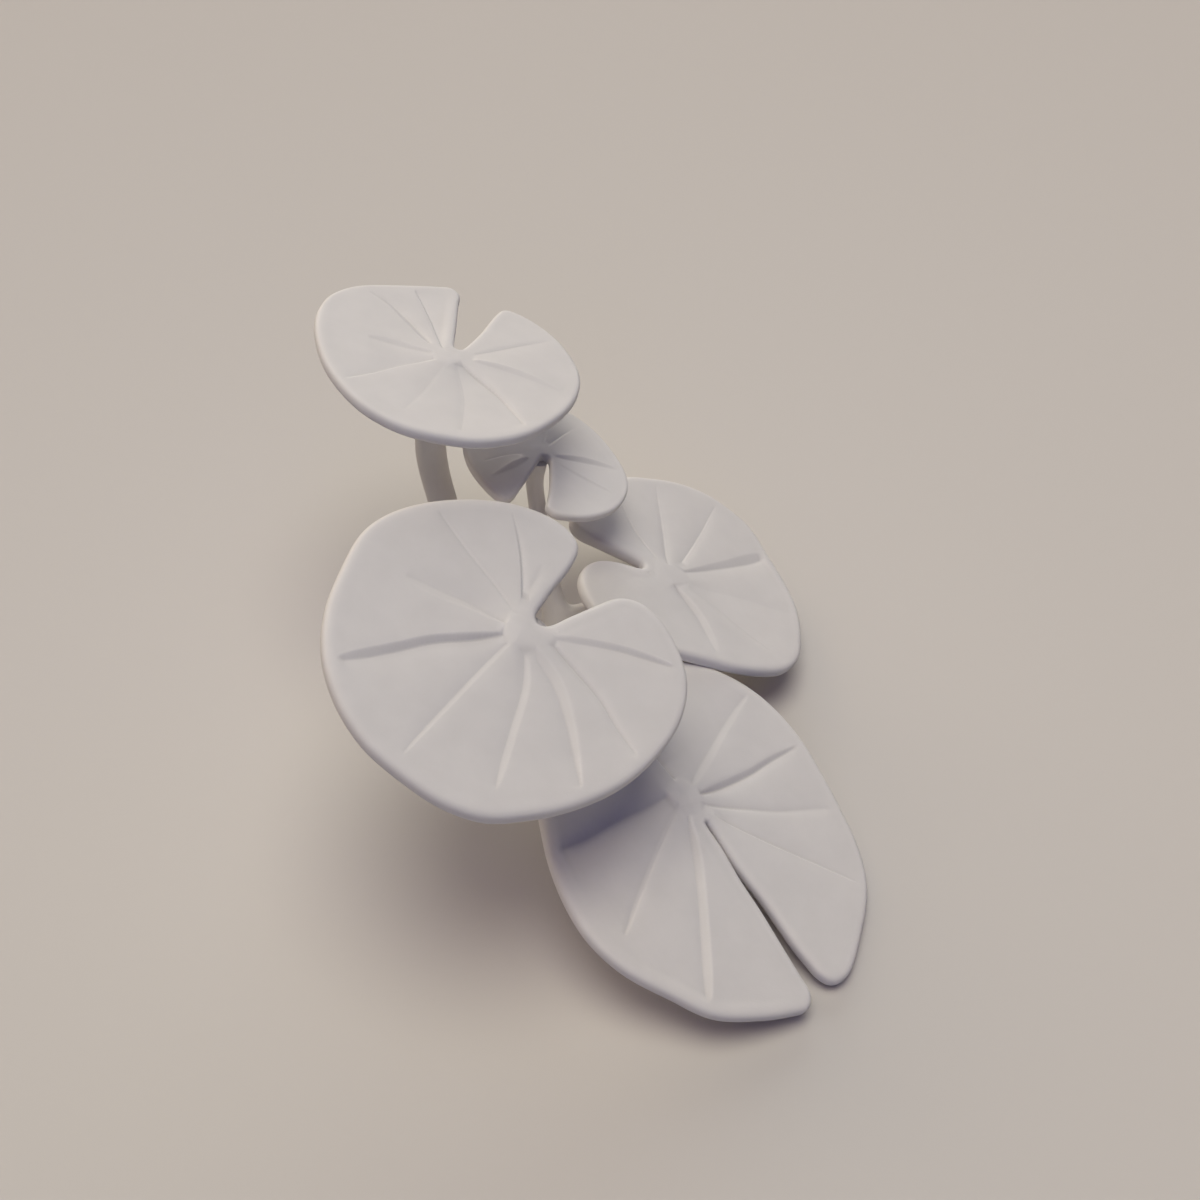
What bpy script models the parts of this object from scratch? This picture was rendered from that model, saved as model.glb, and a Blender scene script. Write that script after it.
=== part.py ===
"""Water lily pad: five notched leaves on thick stems that leave one crown."""
import math

import bmesh
import bpy
from mathutils import Vector
from mathutils.geometry import delaunay_2d_cdt

MM = 0.001
GAP = 0.3
EDGE_STEP = 7.0
ROUND_PARTS = 4
STEM_SIDES = 12
STEM_PARTS = 3
CROWN_RADIUS = 23.0
CROWN_HEIGHT = 17.0
COLOUR = (0.72, 0.69, 0.66, 1.0)
ROUGHNESS = 0.75

# Leaves, in mm. hub is the top of the leaf over its stem, up the normal of its top,
# notch the direction in which it opens (degrees about up, from the X side), rim the
# radius of the rounded edge and knob the rise of the hub, with the radii between which
# it fades. edge is the border of the flat top, with x toward the notch.
# A vein's path has points of angle from the notch and radius. before and after are the
# height of the top on its clockwise and its other side, each with the distance over
# which it fades, width is that of the slope between the two heights near the hub and at
# the outer end, and keep is the share of the heights that is left at the outer end. Widths,
# heights and reaches grow over GROWTH from the inner end and shrink over DECLINE to the
# share SMALLEST at the outer end.
LEAVES = {
    "leaf_back": dict(
        hub=(-61.9, 89.6, 190.0), up=(0.265, 0.107, 0.958), notch=75.0, rim=3.8, knob=(0.4, 4, 12),
        edge=[(7.6, -2.5), (9.4, 1.8), (12.2, 3.4), (36, 10), (54, 15), (61.2, 16.8), (63.3, 20),
              (60.6, 25), (47, 44), (33, 61), (24, 67), (13, 70.5), (-3, 69.5), (-18, 64.5), (-40, 51),
              (-54, 37), (-64.5, 20), (-68.5, 0), (-64.5, -20), (-56, -38), (-39, -54), (-14, -65),
              (11, -68.5), (31, -64), (50, -49), (60, -33), (63.3, -20), (62.8, -15), (58, -13.6),
              (33, -11.8), (12.8, -8.4), (9.4, -6.7)],
        veins=[dict(path=[(42.4, 6), (34.5, 31), (35.2, 47), (36.3, 64)],
                    before=(-2, 6.5), after=(-0.7, 2.3), width=(0.8, 0.8), keep=0.7),
               dict(path=[(66, 12), (58.7, 36), (58.6, 54), (61.3, 67)],
                    before=(-2.4, 2.3), after=(-0.7, 6.8), width=(3.8, 2.5), keep=0.3),
               dict(path=[(98.9, 6), (98.1, 17), (97.8, 28), (100.8, 44)],
                    before=(-0.1, 1.4), after=(-0.8, 6.6), width=(2, 6), keep=1.6),
               dict(path=[(146.6, 6), (141.6, 30), (143.8, 47), (143.6, 67)],
                    before=(-1.4, 8.1), after=(-0.4, 2), width=(0.8, 0.8), keep=0.6),
               dict(path=[(199.6, 6), (181.5, 35), (176.9, 60)],
                    before=(-0.7, 7.6), after=(-0.5, 9.2), width=(3, 0.9), keep=0.9),
               dict(path=[(250.1, 6), (214.4, 34), (205.2, 66)],
                    before=(-1, 4.7), after=(-1.1, 7.4), width=(0.8, 0.8), keep=0.9),
               dict(path=[(274, 6), (246.4, 38), (238.6, 68)],
                    before=(-2.8, 8.1), after=(-1.5, 1.4), width=(0.8, 0.8), keep=0.5),
               dict(path=[(291.9, 13), (283, 40), (277.6, 65)],
                    before=(0.6, 2.3), after=(2.2, 7.3), width=(3.5, 3.9), keep=0.3),
               dict(path=[(311.5, 15), (319, 44), (319.5, 70)],
                    before=(-1.1, 6.8), after=(-0.7, 1.4), width=(0.8, 0.8), keep=0.3)]),
    "leaf_small": dict(
        hub=(-13.7, 84.4, 125.0), up=(0.381, 0.113, 0.918), notch=258.0, rim=3.0, knob=(0.3, 3, 8),
        edge=[(-3, 4.7), (-1.4, 8.6), (1.4, 10.1), (26, 16), (37, 17.2), (42.2, 17.7), (43.6, 21), (41, 27),
              (34, 37), (18, 48), (-2, 51.5), (-16, 48), (-31, 37), (-44, 21), (-49, 3), (-42, -16),
              (-30, -31), (-13, -39.5), (6, -41), (24, -36.5), (36, -30), (45, -21), (50.6, -12),
              (51.6, -7.8), (48, -6), (38, -4.8), (14, -2), (2, -0.8), (-1.4, 0.8)],
        veins=[dict(path=[(181, 6), (182, 15), (185, 25)],
                    before=(0, 4), after=(-0.5, 4), width=(1.2, 1.2), keep=1),
               dict(path=[(165.5, 6), (162, 24), (161, 44)],
                    before=(-0.3, 1.5), after=(-1, 1.4), width=(0.8, 0.8), keep=0.2),
               dict(path=[(102.5, 6), (113.8, 31), (111.8, 50)],
                    before=(-0.4, 1.6), after=(1.4, 8.6), width=(3.5, 4.2), keep=0.4),
               dict(path=[(78, 9), (80.5, 29), (83, 48)],
                    before=(-0.1, 9), after=(0.3, 9), width=(3.5, 0.8), keep=1.3),
               dict(path=[(322, 6), (316, 21), (320, 42)],
                    before=(-0.8, 5), after=(0, 5), width=(0.8, 0.8), keep=1),
               dict(path=[(335, 8), (335.5, 30), (335, 46)],
                    before=(2, 2.9), after=(0.1, 8.8), width=(3.9, 3.3), keep=0.3)]),
    "leaf_side": dict(
        hub=(59.3, 52.0, 60.0), up=(0.438, 0.077, 0.896), notch=181.0, rim=4.6, knob=(0.6, 4, 14),
        edge=[(10.4, -0.6), (12.6, 4.9), (17.3, 7.1), (30, 8.5), (38, 10.5), (45, 15), (50, 22.5), (51, 31),
              (47.5, 41), (40, 51), (28, 58), (12, 60), (-6, 57), (-22, 55.5), (-40, 53.8), (-56, 50),
              (-70.8, 43.2), (-80.6, 30.5), (-84.5, 12), (-84.5, -8), (-79, -27), (-69, -48), (-58, -69),
              (-44, -79.5), (-30, -85), (-12, -85), (5, -80), (22, -72.5), (38, -57), (50, -38), (56, -22),
              (55.7, -17.5), (52.5, -14.2), (45, -12.8), (30, -10.5), (16.9, -8.2), (12.6, -6)],
        veins=[dict(path=[(304.5, 10), (305, 33), (301.5, 55)],
                    before=(-0.4, 2.5), after=(-1, 6), width=(0.8, 0.8), keep=1),
               dict(path=[(262.9, 6), (270.8, 37), (273.2, 80)],
                    before=(-1.3, 2.6), after=(-1.7, 3.2), width=(0.8, 0.8), keep=0.2),
               dict(path=[(217.5, 8), (241.5, 51), (244.5, 88)],
                    before=(-1.2, 2), after=(-1.7, 4.8), width=(0.8, 0.8), keep=0.3),
               dict(path=[(211, 8), (213.6, 25), (214.2, 50), (215.4, 90)],
                    before=(-1.1, 4), after=(-0.1, 1.4), width=(1.2, 8), keep=2),
               dict(path=[(178, 13), (186, 49), (184.5, 69), (183, 88)],
                    before=(-0.6, 9), after=(-0.1, 1.4), width=(6.6, 7.6), keep=0.7),
               dict(path=[(141.5, 7), (155.9, 30), (152.1, 52), (150.8, 75)],
                    before=(-1.1, 2.6), after=(-1.4, 8.2), width=(1.8, 0.8), keep=0.8),
               dict(path=[(119.4, 7), (128.1, 32), (118.8, 64)],
                    before=(-2.8, 5.5), after=(-0.4, 1.4), width=(2.6, 6), keep=0.2),
               dict(path=[(36.8, 7), (40, 32), (46.6, 58)],
                    before=(-0.6, 9), after=(-0.1, 1.4), width=(6.6, 6.8), keep=0.3)]),
    "leaf_large": dict(
        hub=(-19.1, -69.8, 150.0), up=(0.320, -0.122, 0.939), notch=43.0, rim=5.2, knob=(0.5, 4, 12),
        edge=[(7, -1), (9, 4.5), (13, 8), (20, 10.8), (32, 15), (44, 18.5), (52, 21.5), (58.2, 25.3),
              (59.8, 31.5), (57.4, 41), (51.3, 51.2), (40.5, 62), (24, 72.5), (4, 80.5), (-14, 83.3),
              (-30, 81), (-50.5, 70), (-70.8, 55.7), (-86, 38), (-95, 17), (-98, -6), (-94, -29),
              (-87, -49), (-76, -64), (-60, -73.5), (-40, -81.5), (-14, -86.5), (12, -85), (36, -77.7),
              (52.5, -65.6), (61.7, -49.4), (65.3, -32), (63, -22), (57, -16.5), (46, -14.3), (29, -12),
              (15, -10.2), (9, -6.5)],
        veins=[dict(path=[(40.5, 8), (47, 36), (49.5, 54), (52.5, 73)],
                    before=(-1.6, 1.4), after=(-0.2, 1.4), width=(0.8, 1.5), keep=0.3),
               dict(path=[(40, 9), (35.5, 20), (35.3, 30), (32.5, 45)],
                    before=(-0.6, 4.1), after=(-0.6, 3.4), width=(0.8, 0.8), keep=0.9),
               dict(path=[(53.2, 8), (72.5, 25), (80, 50), (82.1, 79)],
                    before=(-0.9, 5.4), after=(-1.3, 4.1), width=(0.8, 1), keep=1),
               dict(path=[(116.5, 6), (116.6, 27), (119.4, 42), (119.1, 63)],
                    before=(-2.8, 10), after=(-0.6, 4), width=(3, 6), keep=0.3),
               dict(path=[(160.4, 6), (154.5, 26), (154.2, 46), (156.4, 62), (158.1, 97)],
                    before=(-0.1, 1.4), after=(-3.1, 6.9), width=(2.6, 4.8), keep=0.6),
               dict(path=[(199.5, 6), (193, 33), (193, 53), (193, 95)],
                    before=(-1.2, 4.9), after=(-0.4, 2.2), width=(3, 1.9), keep=0.8),
               dict(path=[(257, 6), (237, 28), (225.5, 59), (221.5, 90)],
                    before=(-1.4, 6.5), after=(-0.2, 1.4), width=(3.1, 3.8), keep=0.8),
               dict(path=[(269.1, 6), (266, 31), (257.3, 53), (248.7, 89)],
                    before=(-2.2, 7.2), after=(-0.2, 1.4), width=(6.6, 2.1), keep=0.7),
               dict(path=[(312.5, 14), (280, 52), (274.5, 68), (272, 88)],
                    before=(-2.4, 3.9), after=(-2.8, 1.4), width=(0.8, 0.8), keep=0.5),
               dict(path=[(315.5, 9), (317.5, 47), (316, 62), (313.5, 82)],
                    before=(-0.4, 5.5), after=(0.4, 9), width=(3.5, 2.8), keep=2.4)]),
    "leaf_low": dict(
        hub=(64.8, -92.1, 43.2), up=(0.300, -0.100, 0.950), notch=307.0, rim=4.8, knob=(0.8, 6, 11),
        edge=[(13.8, 1.4), (15.3, 5.1), (19, 6.6), (34, 5.8), (45, 5), (55, 5), (66, 5.4), (76, 5.2),
              (86, 4.7), (97, 4.4), (107, 5), (113.5, 5.6), (118.2, 8.2), (118.4, 14.5), (109, 30.5),
              (89.5, 54.6), (70, 66), (48, 72.5), (25, 77.5), (2, 80.8), (-24.5, 78), (-45, 69), (-60, 56),
              (-70, 38), (-73, 15), (-69, -10), (-60, -34), (-48, -54), (-34, -68), (-19, -76), (-1, -83.6),
              (20, -88.8), (40, -89.6), (60, -84.3), (82, -71.3), (100, -59), (113, -38), (119.2, -23),
              (120.8, -17), (118, -13.9), (110, -13), (92, -11), (72, -8.7), (53, -7.4), (34, -4.9),
              (19, -3.9), (15.3, -2.4)],
        veins=[dict(path=[(13.9, 10), (28.4, 47), (31.2, 80), (32.2, 109)],
                    before=(-0.8, 3.5), after=(-1.9, 2.5), width=(0.8, 0.8), keep=0.3),
               dict(path=[(23, 9), (48.5, 37), (51.2, 54), (56.9, 90)],
                    before=(-0.8, 1.6), after=(-2.2, 3.3), width=(0.8, 4.1), keep=0.3),
               dict(path=[(67.9, 7), (82.1, 43), (84.9, 61), (85.3, 83)],
                    before=(-4.4, 2.7), after=(-0.7, 1.4), width=(3.5, 2.4), keep=0.2),
               dict(path=[(106, 6), (112, 27), (114, 56), (113.5, 85)],
                    before=(-0.3, 1.4), after=(-1.7, 7.7), width=(4.9, 2.8), keep=0.7),
               dict(path=[(176, 8), (180, 20), (182, 34)],
                    before=(-3.5, 5), after=(0, 5), width=(1, 1), keep=1),
               dict(path=[(241, 8), (262, 41), (265, 62), (265, 84)],
                    before=(-6, 6), after=(-6, 14), width=(0.8, 0.8), keep=1),
               dict(path=[(287.5, 6), (299, 42), (300, 65), (301, 92)],
                    before=(-1, 4.5), after=(-0.9, 1.4), width=(1.8, 0.8), keep=1.4),
               dict(path=[(332.5, 11), (332.5, 41), (329.5, 76), (327.5, 119)],
                    before=(-1.4, 4), after=(0.9, 9), width=(3.4, 4.6), keep=0.9)]),
}
TOP_FULLNESS = 0.67
VEIN_STEPS = 3
VEIN_SPREAD = 1.0
VEIN_PLACES = (0.1, 0.36, 0.62, 0.88)
GROWTH = 22.0
DECLINE = 24.0
SMALLEST = 0.15
SHARPNESS = 1.3
TIP = 3.0
RIM_MARGIN = 5.0
BORDER_MARGIN = 1.5

# Stem paths from inside the crown to the underside of their leaf: x, y, z and radius
# in mm. The second value is the number of the handle where the crown's stub ends.
STEMS = {
    "back": ([(-3, 2, 9, 8), (-12, 10, 14, 9.5), (-24, 22, 22, 9.3), (-42, 40, 38, 8.8),
              (-58, 58, 62, 8.4), (-70.2, 76.5, 95, 8.3), (-75.2, 86, 125, 8.7),
              (-70, 86.7, 163.5, 8.6)], 2, 11.0),
    "small": ([(0, 2, 8, 8), (-1, 12, 15, 9.5), (-3, 24, 27, 8.8), (-5.2, 34, 39, 8),
               (-8.6, 46.5, 54, 6), (-12.7, 62, 72, 5.2), (-15.8, 75, 89, 5),
               (-17.3, 82, 104, 5.1)], 4, 6.4),
    "side": ([(-4, 31, 34, 6), (2, 35.5, 37, 6.6), (13, 41.5, 37.5, 6.4), (26, 48, 36.5, 6.3),
              (40, 50.5, 37.5, 6.5), (50.3, 50.5, 42.5, 7)], 2, 9.0),
    "large": ([(0, -1, 8, 8), (-1.5, -5, 18, 10.5), (-4, -11, 33, 10.2), (-7, -19, 58, 10),
               (-11.5, -34, 94, 10), (-17, -52, 124, 11)], 2, 14.5),
    "low": ([(4, -5, 9, 7.5), (12, -15, 11, 8.8), (23, -30, 12, 8.6), (38, -54, 13.5, 8),
             (51, -76, 18, 8)], 2, 10.5),
}


def spline(points, closed, steps):
    """Points of a centripetal Catmull-Rom curve through the given points."""
    points = [Vector(p) for p in points]
    if closed:
        ring = [points[-1]] + points + points[:2]
    else:
        ring = [2 * points[0] - points[1]] + points + [2 * points[-1] - points[-2]]
    out = []
    for i in range(len(ring) - 3):
        quad = ring[i:i + 4]
        knots = [0.0]
        for a, b in zip(quad, quad[1:]):
            knots.append(knots[-1] + math.sqrt((b - a).length))
        for step in range(steps):
            t = knots[1] + (knots[2] - knots[1]) * step / steps
            near = [blend(quad[k], quad[k + 1], knots[k], knots[k + 1], t) for k in range(3)]
            wide = [blend(near[k], near[k + 1], knots[k], knots[k + 2], t) for k in range(2)]
            out.append(blend(wide[0], wide[1], knots[1], knots[2], t))
    if not closed:
        out.append(points[-1])
    return out


def blend(a, b, low, high, t):
    """Point on the line that passes a at low and b at high."""
    return a + (b - a) * ((t - low) / (high - low))


def smooth(low, high, value):
    """Zero below low, one above high, with a soft passage."""
    t = min(1.0, max(0.0, (value - low) / (high - low)))
    return t * t * (3.0 - 2.0 * t)


def edge_line(leaf):
    """Evenly spaced points of the flat top's border with their outward directions."""
    core = spline(leaf["edge"], True, 12)
    count = len(core)
    outward = []
    for i in range(count):
        along = core[(i + 1) % count] - core[i - 1]
        outward.append(Vector((along.y, -along.x)).normalized())
    rim = leaf["rim"]
    outer = [p + n * rim for p, n in zip(core, outward)]
    lengths = [(outer[(i + 1) % count] - outer[i]).length for i in range(count)]
    total = sum(lengths)
    places = round(total / EDGE_STEP)
    line = []
    span = 0
    passed = 0.0
    for j in range(places):
        target = total * j / places
        while passed + lengths[span] < target:
            passed += lengths[span]
            span += 1
        t = (target - passed) / lengths[span]
        following = (span + 1) % count
        point = core[span].lerp(core[following], t)
        line.append((point, outward[span].lerp(outward[following], t).normalized()))
    return line


def vein_line(vein):
    """Points along a vein on the flat top."""
    turns = [(math.radians(angle), radius) for angle, radius in vein["path"]]
    places = [(radius * math.cos(turn), radius * math.sin(turn)) for turn, radius in turns]
    return spline(places, False, VEIN_STEPS)


def vein_place(line, point):
    """Distance of a point after a vein, counter-clockwise, the length passed and the whole length."""
    away, passed, start = 1e9, 0.0, 0.0
    for a, b in zip(line, line[1:]):
        span = b - a
        t = min(1.0, max(0.0, (point - a).dot(span) / span.length_squared))
        gap = (point - a - span * t).length
        if gap < abs(away):
            away = -gap if span.cross(point - a) < 0.0 else gap
            passed = start + t * span.length
        start += span.length
    return away, passed, start


def vein_size(passed, whole):
    """Share of its full size that a vein has at a length passed from its inner end."""
    grown = min(passed / GROWTH, (whole - passed) / DECLINE, 1.0)
    return SMALLEST + (1.0 - SMALLEST) * grown * (2.0 - grown)


def fall(side, past, size):
    """Height beside a vein at a distance past its slope."""
    height, reach = side
    return height / (1.0 + (past / (reach * size)) ** SHARPNESS)


def relief(leaf, lines, border, point):
    """Height of the top over its flat border: fields that dip and step at the veins."""
    rise, level, spread = leaf["knob"]
    height = rise * (1.0 - smooth(level, spread, point.length))
    for vein, line in zip(leaf["veins"], lines):
        away, passed, whole = vein_place(line, point)
        part = passed / whole
        size = vein_size(passed, whole)
        near, far = vein["width"]
        half = (near + (far - near) * part) * size / 2.0
        past = max(abs(away) - half, 0.0)
        share = min(1.0, max(0.0, (away + half) / (2.0 * half)))
        before, after = fall(vein["before"], past, size), fall(vein["after"], past, size)
        strength = size * smooth(0.0, TIP, passed) * (1.0 - smooth(whole - TIP, whole, passed))
        height += strength * (1.0 + (vein["keep"] - 1.0) * part) * (before + (after - before) * share)
    return height * smooth(0.0, RIM_MARGIN, vein_place(border, point)[0])


def vein_points(leaf, paths, border):
    """Lines along both borders of the slope at every vein, clear of the leaf's border."""
    lines = []
    for vein, path in zip(leaf["veins"], paths):
        last = len(path) - 1
        for side in (-1.0, 1.0):
            line = []
            for part in VEIN_PLACES:
                index = min(int(part * last), last - 1)
                ahead = (path[index + 1] - path[index]).normalized()
                near, far = vein["width"]
                half = max((near + (far - near) * part) / 2.0, VEIN_SPREAD)
                place = path[index].lerp(path[index + 1], part * last - index)
                place += Vector((-ahead.y, ahead.x)) * half * side
                if vein_place(border, place)[0] > BORDER_MARGIN:
                    line.append(place)
            lines.append(line)
    return lines


def fill(border, lines):
    """Triangles inside a border that keep the given lines as edges."""
    points = list(border)
    count = len(border)
    edges = [(i, (i + 1) % count) for i in range(count)]
    for line in lines:
        first = len(points)
        points.extend(line)
        edges.extend((first + k, first + k + 1) for k in range(len(line) - 1))
    result = delaunay_2d_cdt(points, edges, [list(range(count))], 1, 1e-5)
    return result[0], result[2], result[3]


def leaf_axes(leaf):
    """Hub and the leaf's three directions: to the notch, across it and up."""
    up = Vector(leaf["up"]).normalized()
    east = Vector((1.0, 0.0, 0.0))
    east = (east - up * east.dot(up)).normalized()
    north = up.cross(east)
    turn = math.radians(leaf["notch"])
    ahead = east * math.cos(turn) + north * math.sin(turn)
    return Vector(leaf["hub"]), ahead, up.cross(ahead), up


def material(name):
    """Dull off-white surface."""
    shade = bpy.data.materials.new(name)
    shade.use_nodes = True
    surface = shade.node_tree.nodes["Principled BSDF"]
    surface.inputs["Base Color"].default_value = COLOUR
    surface.inputs["Roughness"].default_value = ROUGHNESS
    surface.inputs["Metallic"].default_value = 0.0
    return shade


def add_object(name, shape, helper=False):
    """Object from a bmesh in mm, smooth shaded with a surface of its own."""
    bmesh.ops.recalc_face_normals(shape, faces=shape.faces)
    for vertex in shape.verts:
        vertex.co *= MM
    for face in shape.faces:
        face.smooth = True
    mesh = bpy.data.meshes.new(name)
    shape.to_mesh(mesh)
    shape.free()
    thing = bpy.data.objects.new(name, mesh)
    bpy.context.scene.collection.objects.link(thing)
    if helper:
        thing.hide_render = True
        thing.display_type = "WIRE"
    else:
        mesh.materials.append(material(name))
    return thing


def make_leaf(name, leaf):
    """Leaf with a rounded edge, a flat underside and fields stepped at the veins."""
    hub, ahead, across, up = leaf_axes(leaf)
    rim = leaf["rim"]
    line = edge_line(leaf)
    shape = bmesh.new()

    def vertex(flat, height):
        return shape.verts.new(hub + ahead * flat.x + across * flat.y + up * height)

    rings = []
    for k in range(ROUND_PARTS + 1):
        angle = math.pi * (0.5 - k / ROUND_PARTS)
        out, high = max(math.cos(angle), 0.0), math.sin(angle)
        if high > 0.0:
            out, high = out ** TOP_FULLNESS, high ** TOP_FULLNESS
        rings.append([vertex(point + normal * rim * out, rim * (high - 1.0)) for point, normal in line])
    count = len(line)
    for upper, lower in zip(rings, rings[1:]):
        for i in range(count):
            j = (i + 1) % count
            shape.faces.new((upper[i], upper[j], lower[j], lower[i]))
    border = [point for point, normal in line]
    closed = border + border[:1]
    paths = [vein_line(vein) for vein in leaf["veins"]]
    inner = vein_points(leaf, paths, closed) + [[Vector((-0.5, 0.0)), Vector((-5.0, 0.0))]]
    for ring, lines, top in ((rings[0], inner, True), (rings[-1], [], False)):
        flats, faces, sources = fill(border, lines)
        corners = []
        for flat, source in zip(flats, sources):
            known = [index for index in source if index < count]
            if known:
                corners.append(ring[known[0]])
            else:
                height = relief(leaf, paths, closed, flat) if top else -2.0 * rim
                corners.append(vertex(flat, height))
        for face in faces:
            shape.faces.new([corners[index] for index in face])
    return add_object(name, shape)


def sweep(stations):
    """Round bar through stations of place, direction and radius, with flat ends."""
    shape = bmesh.new()
    side = stations[0][1].orthogonal().normalized()
    rings = []
    for i, (place, along, radius) in enumerate(stations):
        if i:
            side = stations[i - 1][1].rotation_difference(along) @ side
        other = along.cross(side)
        turns = [math.tau * k / STEM_SIDES for k in range(STEM_SIDES)]
        spokes = [side * math.cos(turn) + other * math.sin(turn) for turn in turns]
        rings.append([shape.verts.new(place + spoke * radius) for spoke in spokes])
    for lower, upper in zip(rings, rings[1:]):
        for k in range(STEM_SIDES):
            j = (k + 1) % STEM_SIDES
            shape.faces.new((lower[k], lower[j], upper[j], upper[k]))
    shape.faces.new(rings[0])
    shape.faces.new(rings[-1])
    return shape


def stem_stations(key):
    """Stations of the crown's stub and those of the stem, which ends square to its leaf."""
    handles, split, top = STEMS[key]
    leaf = LEAVES["leaf_" + key]
    hub, ahead, across, up = leaf_axes(leaf)
    end = hub - up * (2.0 * leaf["rim"] + GAP)
    path = spline(handles + [(*end, top)], False, STEM_PARTS)
    places = [p.to_3d() for p in path]
    stations = []
    for i, (place, spot) in enumerate(zip(places, path)):
        before, after = places[max(i - 1, 0)], places[min(i + 1, len(path) - 1)]
        along = (after - before).normalized()
        left = len(path) - 1 - i
        share = 1.0 - smooth(0.0, 4.0, left)
        stations.append((place, along.lerp(up, share).normalized(), spot[3]))
    cut = split * STEM_PARTS
    place, along, radius = stations[cut]
    return stations[:cut + 1], [(place + along * GAP, along, radius)] + stations[cut + 1:]


def make_crown():
    """Low mound on a flat cut, joined with the stubs of all the stems."""
    shape = bmesh.new()
    rings = []
    for k in range(6):
        angle = math.radians(-36.0 + 23.0 * k)
        radius = CROWN_RADIUS * math.cos(angle)
        height = 6.0 + (CROWN_HEIGHT - 6.0) * math.sin(angle)
        rings.append([shape.verts.new((radius * math.cos(math.tau * j / 24),
                                       radius * math.sin(math.tau * j / 24), height))
                      for j in range(24)])
    for lower, upper in zip(rings, rings[1:]):
        for j in range(24):
            shape.faces.new((lower[j], lower[(j + 1) % 24], upper[(j + 1) % 24], upper[j]))
    shape.faces.new(rings[0])
    shape.faces.new(rings[-1])
    crown = add_object("crown", shape)
    for key in STEMS:
        helper = add_object("crown_stub_" + key, sweep(stem_stations(key)[0]), helper=True)
        join(crown, helper, "UNION")
    shape = bmesh.new()
    bmesh.ops.create_cube(shape, size=120.0)
    for vertex in shape.verts:
        vertex.co.z -= 60.0
    join(crown, add_object("crown_cut", shape, helper=True), "DIFFERENCE")
    return crown


def join(thing, helper, operation):
    """Boolean step of one object with a hidden one."""
    step = thing.modifiers.new(helper.name, "BOOLEAN")
    step.operation = operation
    step.solver = "EXACT"
    step.object = helper


for old in list(bpy.data.objects):
    bpy.data.objects.remove(old, do_unlink=True)
make_crown()
for key in STEMS:
    add_object("stem_" + key, sweep(stem_stations(key)[1]))
for name, leaf in LEAVES.items():
    make_leaf(name, leaf)
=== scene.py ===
"""Water lily pad: fine leaves, stems and crown in an unpainted matte finish."""
import math

import bmesh
import bpy
import numpy as np
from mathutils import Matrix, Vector
from mathutils.geometry import delaunay_2d_cdt


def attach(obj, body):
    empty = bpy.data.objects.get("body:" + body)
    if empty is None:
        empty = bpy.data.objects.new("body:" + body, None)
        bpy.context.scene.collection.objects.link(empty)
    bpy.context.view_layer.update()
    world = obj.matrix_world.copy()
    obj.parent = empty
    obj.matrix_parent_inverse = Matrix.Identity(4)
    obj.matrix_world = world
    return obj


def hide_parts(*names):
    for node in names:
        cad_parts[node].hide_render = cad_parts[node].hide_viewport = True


MM = 0.001

# Leaf surface, in mm
EDGE_STEP = 1.1
EDGE_PARTS = 24
ROUND_PARTS = 14
TOP_FULLNESS = 0.67
LATTICE = 1.25
UNDER_LATTICE = 5.0
ROW_STEP = 0.7
ROW_OFFSETS = (0.35, 0.8, 1.4, 2.2)
VEIN_PARTS = 6
GROWTH = 22.0
DECLINE = 24.0
SMALLEST = 0.15
SHARPNESS = 1.3
TIP = 3.0
CREST_SOFTNESS = 0.3
SLOPE_EVENNESS = 0.85
# Span of pointiness over which creases are darkened by painted shade and crests lightened by a painted
# highlight
CREASE_SHADING_SPAN = 0.03
RIM_MARGIN = 5.0
BATCH = 4000
FAR = 1e9

# Stems and crown, in mm
STEM_SIDES = 24
STEM_PARTS = 6
LAST_TURN = 4.0 / 3.0
CROWN_RADIUS = 23.0
CROWN_HEIGHT = 17.0
CROWN_MIDDLE = 6.0
CROWN_SIDES = 48
CROWN_LEVELS = np.radians(np.linspace(-50.0, 84.0, 12))
VOXEL = 1.2
JOINING = 3.0
PROBE = 0.05
FITTING_ROUNDS = 4
LONGEST_SHIFT = 2.0
SMALLEST_SLOPE = 0.5
PAST_END = 9.0
INTO_LEAF = 0.8
SLEEVE = 4.5
GROUND_SIZE = 300.0

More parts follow.
